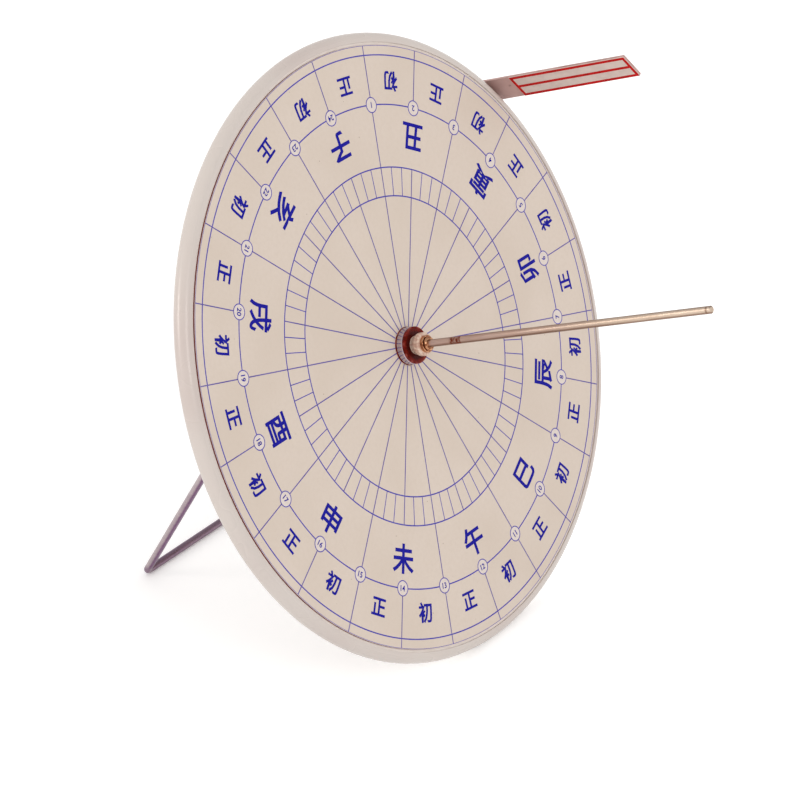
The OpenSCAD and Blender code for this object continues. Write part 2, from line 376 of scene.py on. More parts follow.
def link_mesh(name: str, mesh: bpy.types.Mesh) -> bpy.types.Object:
    """Puts a mesh into the scene as an object with outward faces.

    Args:
        name: Name of the object.
        mesh: The mesh that it takes.

    Returns:
        The new object.
    """
    work = bmesh.new()
    work.from_mesh(mesh)
    bmesh.ops.recalc_face_normals(work, faces=work.faces)
    work.to_mesh(mesh)
    work.free()
    made = bpy.data.objects.new(name, mesh)
    bpy.context.scene.collection.objects.link(made)
    return made


@dataclass
class SetType:
    """Makes flat characters and joins them into one piece.

    Attributes:
        height: Size of the type, in mm.
        bold: How far each stroke is swelled, in mm.
        low: Height of the underside above the sheet, in mm.
        thick: Thickness of the ink, in mm.
        curve_steps: Straight pieces between two points of a stroke's outline.
        parts: The marks made so far.
    """

    height: float
    bold: float
    low: float
    thick: float
    curve_steps: int = 3
    parts: list[bpy.types.Mesh] = field(default_factory=list)

    def add(self, text: str, centre: tuple[float, float], up: float) -> None:
        """Adds one mark, centred on a point.

        Args:
            text: Characters of the mark.
            centre: Middle of the mark in the dial's frame, in mm.
            up: Direction of the mark's top, in radians.
        """
        curve = bpy.data.curves.new("mark", "FONT")
        curve.body = text
        curve.size = self.height
        curve.offset = self.bold
        curve.extrude = self.thick / 2
        curve.resolution_u = self.curve_steps
        holder = bpy.data.objects.new("mark", curve)
        bpy.context.scene.collection.objects.link(holder)
        bpy.context.view_layer.update()
        graph = bpy.context.evaluated_depsgraph_get()
        mesh = bpy.data.meshes.new_from_object(holder.evaluated_get(graph))
        bpy.data.objects.remove(holder)
        bpy.data.curves.remove(curve)
        low = [min(v.co[k] for v in mesh.vertices) for k in range(3)]
        high = [max(v.co[k] for v in mesh.vertices) for k in range(3)]
        middle = Vector((low[0] + high[0], low[1] + high[1], 2 * low[2])) / 2
        turn = Matrix.Rotation(up - math.pi / 2, 4, "Z")
        move = Matrix.Translation((centre[0], centre[1], self.low))
        mesh.transform(move @ turn @ Matrix.Translation(-middle))
        self.parts.append(mesh)

    def build(self, name: str, place: Matrix) -> bpy.types.Object:
        """Joins the marks into one object and closes their seams.

        Args:
            name: Name of the piece.
            place: Move from millimetres to the row frame.

        Returns:
            The new object.
        """
        work = bmesh.new()
        for part in self.parts:
            work.from_mesh(part)
            bpy.data.meshes.remove(part)
        bmesh.ops.remove_doubles(work, verts=work.verts, dist=SEAM_MM)
        mesh = bpy.data.meshes.new(name)
        work.to_mesh(mesh)
        work.free()
        mesh.transform(place)
        return link_mesh(name, mesh)


@dataclass(frozen=True)
class Ground:
    """Node tree of one material, with what its patterns follow.

    Attributes:
        tree: The node tree.
        place: Coordinates of the dial's frame, in metres.
        flow: The same coordinates, drawn out along the grain.
        height: Height above the sheet's face.
        radius: Distance from the hub's axis.
    """

    tree: Tree
    place: Socket
    flow: Socket
    height: Socket
    radius: Socket

    @classmethod
    def lay(cls, tree: Tree, dial: DialFrame, stretch: tuple[float, float, float]) -> "Ground":
        """Adds the nodes that patterns start from.

        Args:
            tree: Node tree of the material.
            dial: The dial's frame.
            stretch: How much the grain is drawn out along the dial's x, y and z.

        Returns:
            The ground for the material's patterns.
        """
        place = add_node(tree, Kind.TO_FRAME, {
            "Vector": add_node(tree, Kind.COORDS, output="Object"),
            "Location": dial.origin, "Rotation": dial.rotation().to_euler()})
        flow = add_node(tree, Kind.STRETCH, {
            "Vector": place, "Scale": tuple(1 / s for s in stretch)})
        height = add_node(tree, Kind.SPLIT, {"Vector": place}, output="Z")
        flat = add_node(tree, Kind.VECTOR_TIMES, {0: place, 1: (1.0, 1.0, 0.0)})
        return cls(tree, place, flow, height, add_node(tree, Kind.LENGTH, {0: flat}))


@dataclass(frozen=True)
class Patches:
    """Soft patches of one size.

    Attributes:
        size_mm: Size of the patches.
        span: Values of the noise, from 0 to 1, at which a patch starts and is full.
        shares: Share outside the patches and in a full one.
        detail: Number of finer layers in them.
    """

    size_mm: float
    span: tuple[float, float]
    shares: tuple[float, float] = (0.0, 1.0)
    detail: float = 2.0

    def mask(self, tree: Tree, coords: Socket) -> Socket:
        """Spreads the patches over a surface.

        Args:
            tree: Node tree of the material.
            coords: Coordinates that they lie in.

        Returns:
            The share at each point.
        """
        noise = add_node(tree, Kind.NOISE, {
            "Vector": coords, "Scale": per_mm(self.size_mm), "Detail": self.detail})
        return add_node(tree, Kind.SOFT_STEP, {
            "Value": noise, "From Min": self.span[0], "From Max": self.span[1],
            "To Min": self.shares[0], "To Max": self.shares[1]})


@dataclass(frozen=True)
class Finish:
    """What a surface is made of and how it was made.

    Attributes:
        name: Name of the material.
        colour: Its main colour, sRGB hex.
        tint: The colour that it drifts to.
        drift_mm: Size of the patches of that drift.
        drift: Share of the tint in the strongest patch.
        grain_mm: Size of the surface's grain.
        grain_height_mm: Height of the grain.
        smooth: Lowest roughness.
        rough: Highest roughness.
        metallic: 1 for a metal.
        stretch: How much the pattern is drawn out along the dial's x, y and z.
        gloss: Specular level, 0.5 for most plastics and inks.
    """

    name: str
    colour: str
    tint: str
    drift_mm: float = 20.0
    drift: float = 0.5
    grain_mm: float = 0.5
    grain_height_mm: float = 0.01
    smooth: float = 0.4
    rough: float = 0.5
    metallic: float = 0.0
    stretch: tuple[float, float, float] = (1.0, 1.0, 1.0)
    gloss: float = 0.5

    def material(self, dial: DialFrame) -> bpy.types.Material:
        """Builds the material.

        Args:
            dial: The dial's frame, in which the patterns lie.

        Returns:
            A material with its colour, roughness and bump from nodes.
        """
        made = bpy.data.materials.new(self.name)
        made.use_nodes = True
        tree = made.node_tree
        shader = tree.nodes["Principled BSDF"]
        shader.inputs["Metallic"].default_value = self.metallic
        shader.inputs["Specular IOR Level"].default_value = self.gloss
        ground = Ground.lay(tree, dial, self.stretch)
        tree.links.new(self._colour(ground), shader.inputs["Base Color"])
        tree.links.new(self._roughness(ground), shader.inputs["Roughness"])
        tree.links.new(self._bump(ground), shader.inputs["Normal"])
        return made

    def _colour(self, ground: Ground) -> Socket:
        """Gives the colour: the main one, drifting to the tint in patches.

        Args:
            ground: Node tree of the material and what its patterns follow.

        Returns:
            The colour.
        """
        patches = Patches(self.drift_mm, DRIFT_SPAN, (0.0, self.drift))
        return add_node(ground.tree, Kind.COLOUR_MIX, {
            "Factor": patches.mask(ground.tree, ground.flow),
            "A": linear(self.colour), "B": linear(self.tint)})

    def _roughness(self, ground: Ground) -> Socket:
        """Gives the roughness, uneven at half the size of the colour's drift."""
        patches = Patches(self.drift_mm / 2, ROUGH_SPAN, (self.smooth, self.rough))
        return patches.mask(ground.tree, ground.flow)

    def _bump(self, ground: Ground) -> Socket:
        """Gives the direction that the surface is shaded by, bent by its grain.

        Args:
            ground: Node tree of the material and what its patterns follow.

        Returns:
            The direction.
        """
        grain = add_node(ground.tree, Kind.NOISE, {
            "Vector": ground.flow, "Scale": per_mm(self.grain_mm)})
        return add_node(ground.tree, Kind.BUMP, {
            "Height": grain, "Distance": self.grain_height_mm * MM})


@dataclass(frozen=True)
class PrintedCard(Finish):
    """Card with a matt film, printed, then punched out: cream face, and a cut edge painted dark as
    the shadow in the groove round the sheet.

    Attributes:
        fibres: Clouds of fibres, in the colour of the drift.
        edge: Colour of the cut edge, a painted shade that stands for the shadow in the groove.
        face_skin: Depth below the face where the edge's colour starts, in mm.
        speck: Colour of the specks in the card.
        speck_mm: Distance from speck to speck.
        speck_span: Distances from a speck's middle, in parts of speck_mm, between which it fades.
        speck_share: Share of its colour.
    """

    fibres: Patches = Patches(1.6, (0.35, 0.75), (0.0, 0.35), 6.0)
    edge: str = "740a10"
    face_skin: float = 0.05
    speck: str = "a08c78"
    speck_mm: float = 9.0
    speck_span: tuple[float, float] = (0.035, 0.02)
    speck_share: float = 0.7

    def _colour(self, ground: Ground) -> Socket:
        """Gives fibre clouds, a few specks and the cut edge, painted dark as shade.

        Args:
            ground: Node tree of the material and what its patterns follow.

        Returns:
            The colour.
        """
        tree = ground.tree
        fibrous = add_node(tree, Kind.COLOUR_MIX, {
            "Factor": self.fibres.mask(tree, ground.flow),
            "A": super()._colour(ground), "B": linear(self.tint)})
        cells = add_node(tree, Kind.CELLS, {
            "Vector": ground.place, "Scale": per_mm(self.speck_mm)})
        specks = add_node(tree, Kind.SOFT_STEP, {
            "Value": cells, "From Min": self.speck_span[0], "From Max": self.speck_span[1],
            "To Max": self.speck_share})
        specked = add_node(tree, Kind.COLOUR_MIX, {
            "Factor": specks, "A": fibrous, "B": linear(self.speck)})
        # Painted shade: below the face skin the cut edge takes the dark colour of the groove's
        # shadow
        below = add_node(tree, Kind.SOFT_STEP, {
            "Value": ground.height, "From Min": -self.face_skin * MM,
            "From Max": -2 * self.face_skin * MM})
        return add_node(tree, Kind.COLOUR_MIX, {
            "Factor": below, "A": specked, "B": linear(self.edge)})


@dataclass(frozen=True)
class MouldedBoard(Finish):
    """Moulded ABS with a spark-eroded skin, polished by hands along its rim.

    Attributes:
        rim: Radius at which the polished rim starts, in mm.
        rim_fade: Distance over which the polish comes in.
        polish: How much it takes off the roughness.
        dust: Colour of the dust in the back's pockets.
        clouds: Patches of that dust.
        dust_depth: Depth below the sheet's face where the dust starts, in mm.
        dust_fade: Distance over which it comes in.
        dust_r: Radius of the pockets' outer wall, which keeps it in, in mm.
        wall_fade: Distance over which it thins out before the wall.
    """

    rim: float = 121.0
    rim_fade: float = 2.0
    polish: float = 0.12
    dust: str = "c3b8ac"
    clouds: Patches = Patches(14.0, (0.45, 0.75), (0.0, 0.5), 4.0)
    dust_depth: float = 4.6
    dust_fade: float = 0.7
    dust_r: float = 118.4
    wall_fade: float = 1.0

    def _colour(self, ground: Ground) -> Socket:
        """Gives the ivory drift, with dust in the corners of the back's pockets.

        Args:
            ground: Node tree of the material and what its patterns follow.

        Returns:
            The colour.
        """
        tree = ground.tree
        base = super()._colour(ground)
        floor = add_node(tree, Kind.SOFT_STEP, {
            "Value": ground.height, "From Min": -(self.dust_depth + self.dust_fade) * MM,
            "From Max": -self.dust_depth * MM})
        inside = add_node(tree, Kind.SOFT_STEP, {
            "Value": ground.radius, "From Min": self.dust_r * MM,
            "From Max": (self.dust_r - self.wall_fade) * MM})
        pocket = add_node(tree, Kind.TIMES, {0: floor, 1: inside})
        share = add_node(tree, Kind.TIMES, {0: pocket, 1: self.clouds.mask(tree, ground.place)})
        return add_node(tree, Kind.COLOUR_MIX, {
            "Factor": share, "A": base, "B": linear(self.dust)})

    def _roughness(self, ground: Ground) -> Socket:
        """Gives the skin's roughness, lower on the rim.

        Args:
            ground: Node tree of the material and what its patterns follow.

        Returns:
            The roughness.
        """
        polish = add_node(ground.tree, Kind.SOFT_STEP, {
            "Value": ground.radius, "From Min": self.rim * MM,
            "From Max": (self.rim + self.rim_fade) * MM, "To Max": self.polish})
        return add_node(ground.tree, Kind.MINUS, {0: super()._roughness(ground), 1: polish})


@dataclass(frozen=True)
class TarnishedRod(Finish):
    """Drawn brass rod, dulled by air, with painted shade along two sides and a reddish band where
    it was heated. Sizes in mm.

    Attributes:
        handled: Colour of the front half, where fingers keep it yellower.
        handled_span: Heights above the sheet between which that colour comes in.
        handled_share: Its share at the tip.
        seam: Colour of the painted shade along the rod's two sides, and of the cutter's ring.
        seam_way: Direction across the rod, in the dial's frame, towards one of its two shaded
            sides.
        seam_span: Distances from the rod's middle between which the painted shade comes in.
        seam_share: Share of the painted shade's colour.
        wander: How far the edge of the painted shade wanders.
        wander_mm: Distance over which it does.
        ring_at: Height of the dark ring that the cutter left behind the tip.
        ring_span: Distances from its middle between which the ring comes in.
        ring_share: Share of its colour.
        band: Colour of the band.
        band_span: Heights at which it starts and ends.
        band_fade: Distances over which it comes in and goes out.
        mottle: Patches of the band.
    """

    handled: str = "d0bca6"
    handled_span: tuple[float, float] = (25.0, 110.0)
    handled_share: float = 0.75
    seam: str = "80604e"
    seam_way: tuple[float, float] = (0.5, 0.866)
    seam_span: tuple[float, float] = (1.1, 1.75)
    seam_share: float = 0.85
    wander: float = 0.8
    wander_mm: float = 3.0
    ring_at: float = 147.2
    ring_span: tuple[float, float] = (0.6, 0.25)
    ring_share: float = 0.7
    band: str = "83412f"
    band_span: tuple[float, float] = (22.0, 28.5)
    band_fade: tuple[float, float] = (1.5, 0.6)
    mottle: Patches = Patches(1.1, (0.35, 0.6), (0.35, 1.0), 4.0)

    def _colour(self, ground: Ground) -> Socket:
        """Gives draw streaks, painted shade along two sides, the cutter's ring and the mottled
        band.

        Args:
            ground: Node tree of the material and what its patterns follow.

        Returns:
            The colour.
        """
        tree = ground.tree
        front = add_node(tree, Kind.SOFT_STEP, {
            "Value": ground.height, "From Min": self.handled_span[0] * MM,
            "From Max": self.handled_span[1] * MM, "To Max": self.handled_share})
        base = super()._colour(ground)
        for share, colour in (
            (front, self.handled), (self._seams(ground), self.seam),
            (self._ring(ground), self.seam), (self._band(ground), self.band),
        ):
            base = add_node(tree, Kind.COLOUR_MIX, {
                "Factor": share, "A": base, "B": linear(colour)})
        return base

    def _seams(self, ground: Ground) -> Socket:
        """Gives the share of painted shade along the rod's two sides.

        Args:
            ground: Node tree of the material and what its patterns follow.

        Returns:
            The share.
        """
        tree = ground.tree
        # Painted shade: the rod's two sides are darkened and its middle left light, as a lit metal
        # rod looks
        across = add_node(tree, Kind.SIZE, {
            0: add_node(tree, Kind.ALONG, {0: ground.place, 1: (*self.seam_way, 0.0)})})
        noise = add_node(tree, Kind.NOISE, {
            "Vector": ground.flow, "Scale": per_mm(self.wander_mm), "Detail": 3.0})
        wander = add_node(tree, Kind.TIMES, {0: noise, 1: self.wander * MM})
        return add_node(tree, Kind.SOFT_STEP, {
            "Value": add_node(tree, Kind.PLUS, {0: across, 1: wander}),
            "From Min": self.seam_span[0] * MM, "From Max": self.seam_span[1] * MM,
            "To Max": self.seam_share})

    def _ring(self, ground: Ground) -> Socket:
        """Gives the share of tarnish in the cutter's ring.

        Args:
            ground: Node tree of the material and what its patterns follow.

        Returns:
            The share.
        """
        tree = ground.tree
        behind = add_node(tree, Kind.MINUS, {0: ground.height, 1: self.ring_at * MM})
        return add_node(tree, Kind.SOFT_STEP, {
            "Value": add_node(tree, Kind.SIZE, {0: behind}),
            "From Min": self.ring_span[0] * MM, "From Max": self.ring_span[1] * MM,
            "To Max": self.ring_share})

    def _band(self, ground: Ground) -> Socket:
        """Gives the share of the heated band.

        Args:
            ground: Node tree of the material and what its patterns follow.

        Returns:
            The share.
        """
        tree = ground.tree
        start, end = self.band_span
        up = add_node(tree, Kind.SOFT_STEP, {
            "Value": ground.height, "From Min": start * MM,
            "From Max": (start + self.band_fade[0]) * MM})
        down = add_node(tree, Kind.SOFT_STEP, {
            "Value": ground.height, "From Min": end * MM,
            "From Max": (end - self.band_fade[1]) * MM})
        whole = add_node(tree, Kind.TIMES, {0: up, 1: down})
        return add_node(tree, Kind.TIMES, {0: whole, 1: self.mottle.mask(tree, ground.place)})


@dataclass(frozen=True)
class WaxedFibre(Finish):
    """Red fibre, pressed smooth and waxed, with painted shade beside the nut and painted highlights
    in patches outside.

    Attributes:
        core: Colour of the painted shade beside the nut.
        core_span: Radii between which that painted shade comes in, in mm.
        core_share: Share of its colour.
        rubbed: Colour of the painted highlights on the outer part.
        rubbed_span: Radii between which the highlights come in, in mm.
        rubs: Patches where they lie.
    """

    core: str = "3a0604"
    core_span: tuple[float, float] = (6.4, 5.2)
    core_share: float = 0.85
    rubbed: str = "9c4a40"
    rubbed_span: tuple[float, float] = (6.3, 7.3)
    rubs: Patches = Patches(2.4, (0.42, 0.62), (0.0, 0.8), 3.0)

    def _colour(self, ground: Ground) -> Socket:
        """Gives the ring of painted shade and the patches of painted highlight over the fibre's
        drift.

        Args:
            ground: Node tree of the material and what its patterns follow.

        Returns:
            The colour.
        """
        tree = ground.tree
        # Painted shade beside the nut, and painted highlights in patches on the outer part
        dark = add_node(tree, Kind.SOFT_STEP, {
            "Value": ground.radius, "From Min": self.core_span[0] * MM,
            "From Max": self.core_span[1] * MM, "To Max": self.core_share})
        nut_shaded = add_node(tree, Kind.COLOUR_MIX, {
            "Factor": dark, "A": super()._colour(ground), "B": linear(self.core)})
        outside = add_node(tree, Kind.SOFT_STEP, {
            "Value": ground.radius, "From Min": self.rubbed_span[0] * MM,
            "From Max": self.rubbed_span[1] * MM})
        share = add_node(tree, Kind.TIMES, {0: outside, 1: self.rubs.mask(tree, ground.place)})
        return add_node(tree, Kind.COLOUR_MIX, {
            "Factor": share, "A": nut_shaded, "B": linear(self.rubbed)})


@dataclass(frozen=True)
class FreckledSteel(Finish):
    """Plain steel with a dull skin and small freckles of rust.

    Attributes:
        rust: Colour of the freckles.
        freckles: Patches in which they lie.
    """

    rust: str = "7c4a38"
    freckles: Patches = Patches(3.0, (0.645, 0.765), (0.0, 0.7), 5.0)

    def _colour(self, ground: Ground) -> Socket:
        """Gives the skin's drift with freckles over it."""
        return add_node(ground.tree, Kind.COLOUR_MIX, {
            "Factor": self.freckles.mask(ground.tree, ground.place),
            "A": super()._colour(ground), "B": linear(self.rust)})


@dataclass(frozen=True)
class OxidisedWire(FreckledSteel):
    """Drawn wire with painted shade in plum on its one side, above the foot.

    Attributes:
        oxide: The plum colour, used as painted shade on one side and as an even tone at the foot.
        oxide_side: Direction, in the row frame, that the side with painted shade faces.
        side_span: How squarely a point faces that way, from -1 to 1, where the painted shade comes
            in.
        ragged: How far the edge of the painted shade wanders along that scale.
        ragged_mm: Distance over which it does.
        foot: Height above the table up to which the plum colour goes all round, in mm.
        foot_fade: Distance over which it goes over to the one side.
        foot_share: Share of the plum colour at the foot.
    """

    oxide: str = "725070"
    oxide_side: tuple[float, float, float] = (0.28, -0.83, -0.48)
    side_span: tuple[float, float] = (-0.2, 0.4)
    ragged: float = 0.3
    ragged_mm: float = 2.0
    foot: float = 4.0
    foot_fade: float = 3.0
    foot_share: float = 0.6

    def _colour(self, ground: Ground) -> Socket:
        """Gives the grey steel with painted shade in plum on its one side.

        Args:
            ground: Node tree of the material and what its patterns follow.

        Returns:
            The colour.
        """
        tree = ground.tree
        # Painted shade: the side of the wire that faces oxide_side is darkened to plum, as its
        # shading looks
        facing = add_node(tree, Kind.ALONG, {
            0: add_node(tree, Kind.COORDS, output="Normal"), 1: self.oxide_side})
        noise = add_node(tree, Kind.NOISE, {
            "Vector": ground.flow, "Scale": per_mm(self.ragged_mm), "Detail": 3.0})
        ragged = add_node(tree, Kind.TIMES_PLUS, {
            0: noise, 1: self.ragged, 2: -self.ragged / 2})
        side = add_node(tree, Kind.SOFT_STEP, {
            "Value": add_node(tree, Kind.PLUS, {0: facing, 1: ragged}),
            "From Min": self.side_span[0], "From Max": self.side_span[1]})
        row_place = add_node(tree, Kind.COORDS, output="Object")
        above = add_node(tree, Kind.SOFT_STEP, {
            "Value": add_node(tree, Kind.SPLIT, {"Vector": row_place}, output="Z"),
            "From Min": self.foot * MM, "From Max": (self.foot + self.foot_fade) * MM})
        share = add_node(tree, Kind.NUMBER_MIX, {
            "Factor": above, "A": self.foot_share, "B": side})
        return add_node(tree, Kind.COLOUR_MIX, {
            "Factor": share, "A": super()._colour(ground), "B": linear(self.oxide)})


# Most real grain, draw lines and tool marks are finer than 0.25 mm, too fine to show here, so
# each is drawn at 0.25 to 0.8 mm
# Card under a matt film: cream, nearly even, hardly any gloss
CARD = PrintedCard("printed_card", "dacbbe", "d2c2b3", drift_mm=45, drift=0.6, grain_mm=0.8,
                   grain_height_mm=0.008, smooth=0.5, rough=0.62)
# Inside of the number badges: the same card, printed a little paler
PALE_CARD = Finish("pale_printed_card", "e0d4cd", "d8cac1", drift_mm=3, grain_mm=0.8,
                   grain_height_mm=0.004, smooth=0.5, rough=0.6)
# Screen ink: deep blue, a touch uneven where the screen lifted
BLUE_INK = Finish("blue_screen_ink", "0e0c90", "1a18a4", drift_mm=1.6, drift=0.6, grain_mm=0.4,
                  grain_height_mm=0.004, smooth=0.45, rough=0.6, gloss=0.1)
# The thin lines carry less ink than the characters
LINE_INK = Finish("blue_line_ink", "3a35a8", "5a53b0", drift_mm=6, drift=0.8, grain_mm=0.4,
                  grain_height_mm=0.003, smooth=0.5, rough=0.6, gloss=0.2)
# The hour lines are printed greyer still
SPOKE_INK = Finish("grey_blue_line_ink", "54489e", "7066ac", drift_mm=9, drift=0.9, grain_mm=0.4,
                   grain_height_mm=0.003, smooth=0.5, rough=0.6, gloss=0.2)
# Dried white glue that holds the sheet in its recess: pale, a little glassy; paler than the board,
# it also paints out the groove's shade
GLUE = Finish("dried_glue", "efe6de", "e2d6cc", drift_mm=6, grain_mm=0.8, grain_height_mm=0.02,
              smooth=0.3, rough=0.45)
# Red screen ink on the label
RED_INK = Finish("red_screen_ink", "c60a0c", "aa0808", drift_mm=4, drift=0.7, grain_mm=0.4,
                 grain_height_mm=0.004, smooth=0.42, rough=0.55, gloss=0.1)
# Moulded ABS: slightly warm white, fine even skin, soft gloss
BOARD_ABS = MouldedBoard("moulded_white_abs", "d3c9c2", "c8b8b2", drift_mm=70, drift=0.7,
                         grain_mm=0.5, grain_height_mm=0.012, smooth=0.34, rough=0.42)
# Small ABS moulding: the same plastic with a finer skin
LUG_ABS = Finish("moulded_abs_lug", "d3cac3", "c6bbb2", drift_mm=8, grain_mm=0.35,
                 grain_height_mm=0.01, smooth=0.34, rough=0.46)
# Acetal nut: creamy, a little waxy, with darker streaks along it painted as its reflections
NUT_ACETAL = Finish("turned_acetal", "e2c8b6", "b48470", drift_mm=1.1, drift=0.8, grain_mm=0.3,
                    grain_height_mm=0.004, smooth=0.26, rough=0.36, stretch=(1.0, 1.0, 3.0))
# Drawn brass, dull: fine lines along the rod, painted shade along its two sides
ROD_BRASS = TarnishedRod("drawn_brass_dull", "d6c0b8", "ba9a8e", drift_mm=1.2, drift=0.7,
                         grain_mm=0.35, grain_height_mm=0.006, smooth=0.28, rough=0.42,
                         metallic=1.0, stretch=(1.0, 1.0, 14.0))
# Turned brass: warm, bright, with rings left by the tool; its strong deep brown patches are painted
# dark reflections
RING_BRASS = Finish("turned_brass_ring", "dca882", "84492c", drift_mm=1.2, drift=0.9,
                    grain_mm=0.25, grain_height_mm=0.01, smooth=0.1, rough=0.22, metallic=1.0)
# Machined brass of the tube and the lock nut: yellower and cleaner
TUBE_BRASS = Finish("machined_brass", "d3ad66", "b8904c", drift_mm=3, drift=0.6, grain_mm=0.3,
                    grain_height_mm=0.006, smooth=0.2, rough=0.34, metallic=1.0)
# Turned collar under bright nickel: mirrors the dial's lines, with a faint plum cast
COLLAR_NICKEL = Finish("polished_nickel", "c4b6bc", "b09ea8", drift_mm=3, drift=0.6,
                       grain_mm=0.4, grain_height_mm=0.003, smooth=0.1, rough=0.18, metallic=1.0)
# Vulcanised fibre: dense dark red board, matt, faint fibres
RED_FIBRE = Finish("vulcanised_fibre", "641b12", "47100a", drift_mm=2.2, drift=0.8, grain_mm=0.35,
                   grain_height_mm=0.02, smooth=0.5, rough=0.66)
# The same fibre, pressed smooth and waxed: deep maroon with a clear gloss, painted shade beside the
# nut and painted highlights outside
POLISHED_FIBRE = WaxedFibre("waxed_fibre", "72170d", "480904", drift_mm=1.4, drift=0.8,
                            grain_mm=0.4, grain_height_mm=0.008, smooth=0.2, rough=0.34,
                            gloss=0.1)
# Rolled steel strip: rosy brown skin, cloudy, with a dull sheen
STRIP_STEEL = FreckledSteel("rolled_steel_strip", "ccaaa4", "a07a76", drift_mm=14, drift=0.75,
                            grain_mm=0.3, grain_height_mm=0.006, smooth=0.4, rough=0.55,
                            metallic=0.4, rust="7c5046",
                            freckles=Patches(5.0, (0.63, 0.75), (0.0, 0.7), 5.0))
# Uncoated paper label: warm grey
LABEL_PAPER = Finish("paper_label", "dccac2", "ccbab2", drift_mm=5, drift=0.6, grain_mm=0.4,
                     grain_height_mm=0.01, smooth=0.6, rough=0.72)
# Drawn spring wire: grey, with painted shade in plum on one side, soft sheen
WIRE_STEEL = OxidisedWire("drawn_steel_wire", "ae9fa2", "988690", drift_mm=9, drift=0.6,
                          grain_mm=0.3, grain_height_mm=0.006, smooth=0.22, rough=0.32,
                          metallic=1.0, rust="76565c",
                          freckles=Patches(2.0, (0.69, 0.81), (0.0, 0.7), 5.0))
# Bright zinc plate: pale blue-grey, cloudy
ZINC = Finish("zinc_plate", "c2c4c8", "a6a9ae", drift_mm=2.5, grain_mm=0.3,
              grain_height_mm=0.006, smooth=0.24, rough=0.4, metallic=1.0)
# Hardened spring steel, oiled: dark grey
SPRING_STEEL = Finish("oiled_spring_steel", "77777c", "5a5a60", drift_mm=2, grain_mm=0.3,
                      grain_height_mm=0.006, smooth=0.3, rough=0.42, metallic=1.0)


@dataclass
class Wardrobe:
    """Hands out materials, each made once.

    Attributes:
        dial: The dial's frame, in which their patterns lie.
        made: The materials made so far, by the name of their finish.
    """

    dial: DialFrame
    made: dict[str, bpy.types.Material] = field(default_factory=dict)

    def dress(self, piece: bpy.types.Object, finish: Finish) -> None:
        """Gives a piece its finish.

        Args:
            piece: The piece.
            finish: What it is made of.
        """
        if finish.name not in self.made:
            self.made[finish.name] = finish.material(self.dial)
        piece.data.materials.clear()
        piece.data.materials.append(self.made[finish.name])


@dataclass
class Subassembly:
    """Part of the sundial that is built and dressed together.

    Attributes:
        dial: The dial's frame.
        wardrobe: Where the materials come from.
    """

    dial: DialFrame
    wardrobe: Wardrobe

    def build(self) -> None:
        """Builds and dresses the pieces."""
        raise NotImplementedError

    def _dress_nodes(self, finishes: dict[str, Finish]) -> None:
        """Gives CAD nodes their finish.

        Args:
            finishes: Name of each node, to its finish.
        """
        for node, finish in finishes.items():
            self.wardrobe.dress(frame["nodes"][node], finish)
            log.info("%s: %s", node, finish.name)

    def _add(self, piece: bpy.types.Object, finish: Finish, body: Body, slot: str) -> None:
        """Dresses a new piece and lets it ride on a body.

        Args:
            piece: The piece.
            finish: What it is made of.
            body: The body that carries it.
            slot: Its material slot in the part's record; not used.
        """
        self.wardrobe.dress(piece, finish)
        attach(piece, body.value)
        log.info("%s: %s, %d faces", piece.name, finish.name, len(piece.data.polygons))


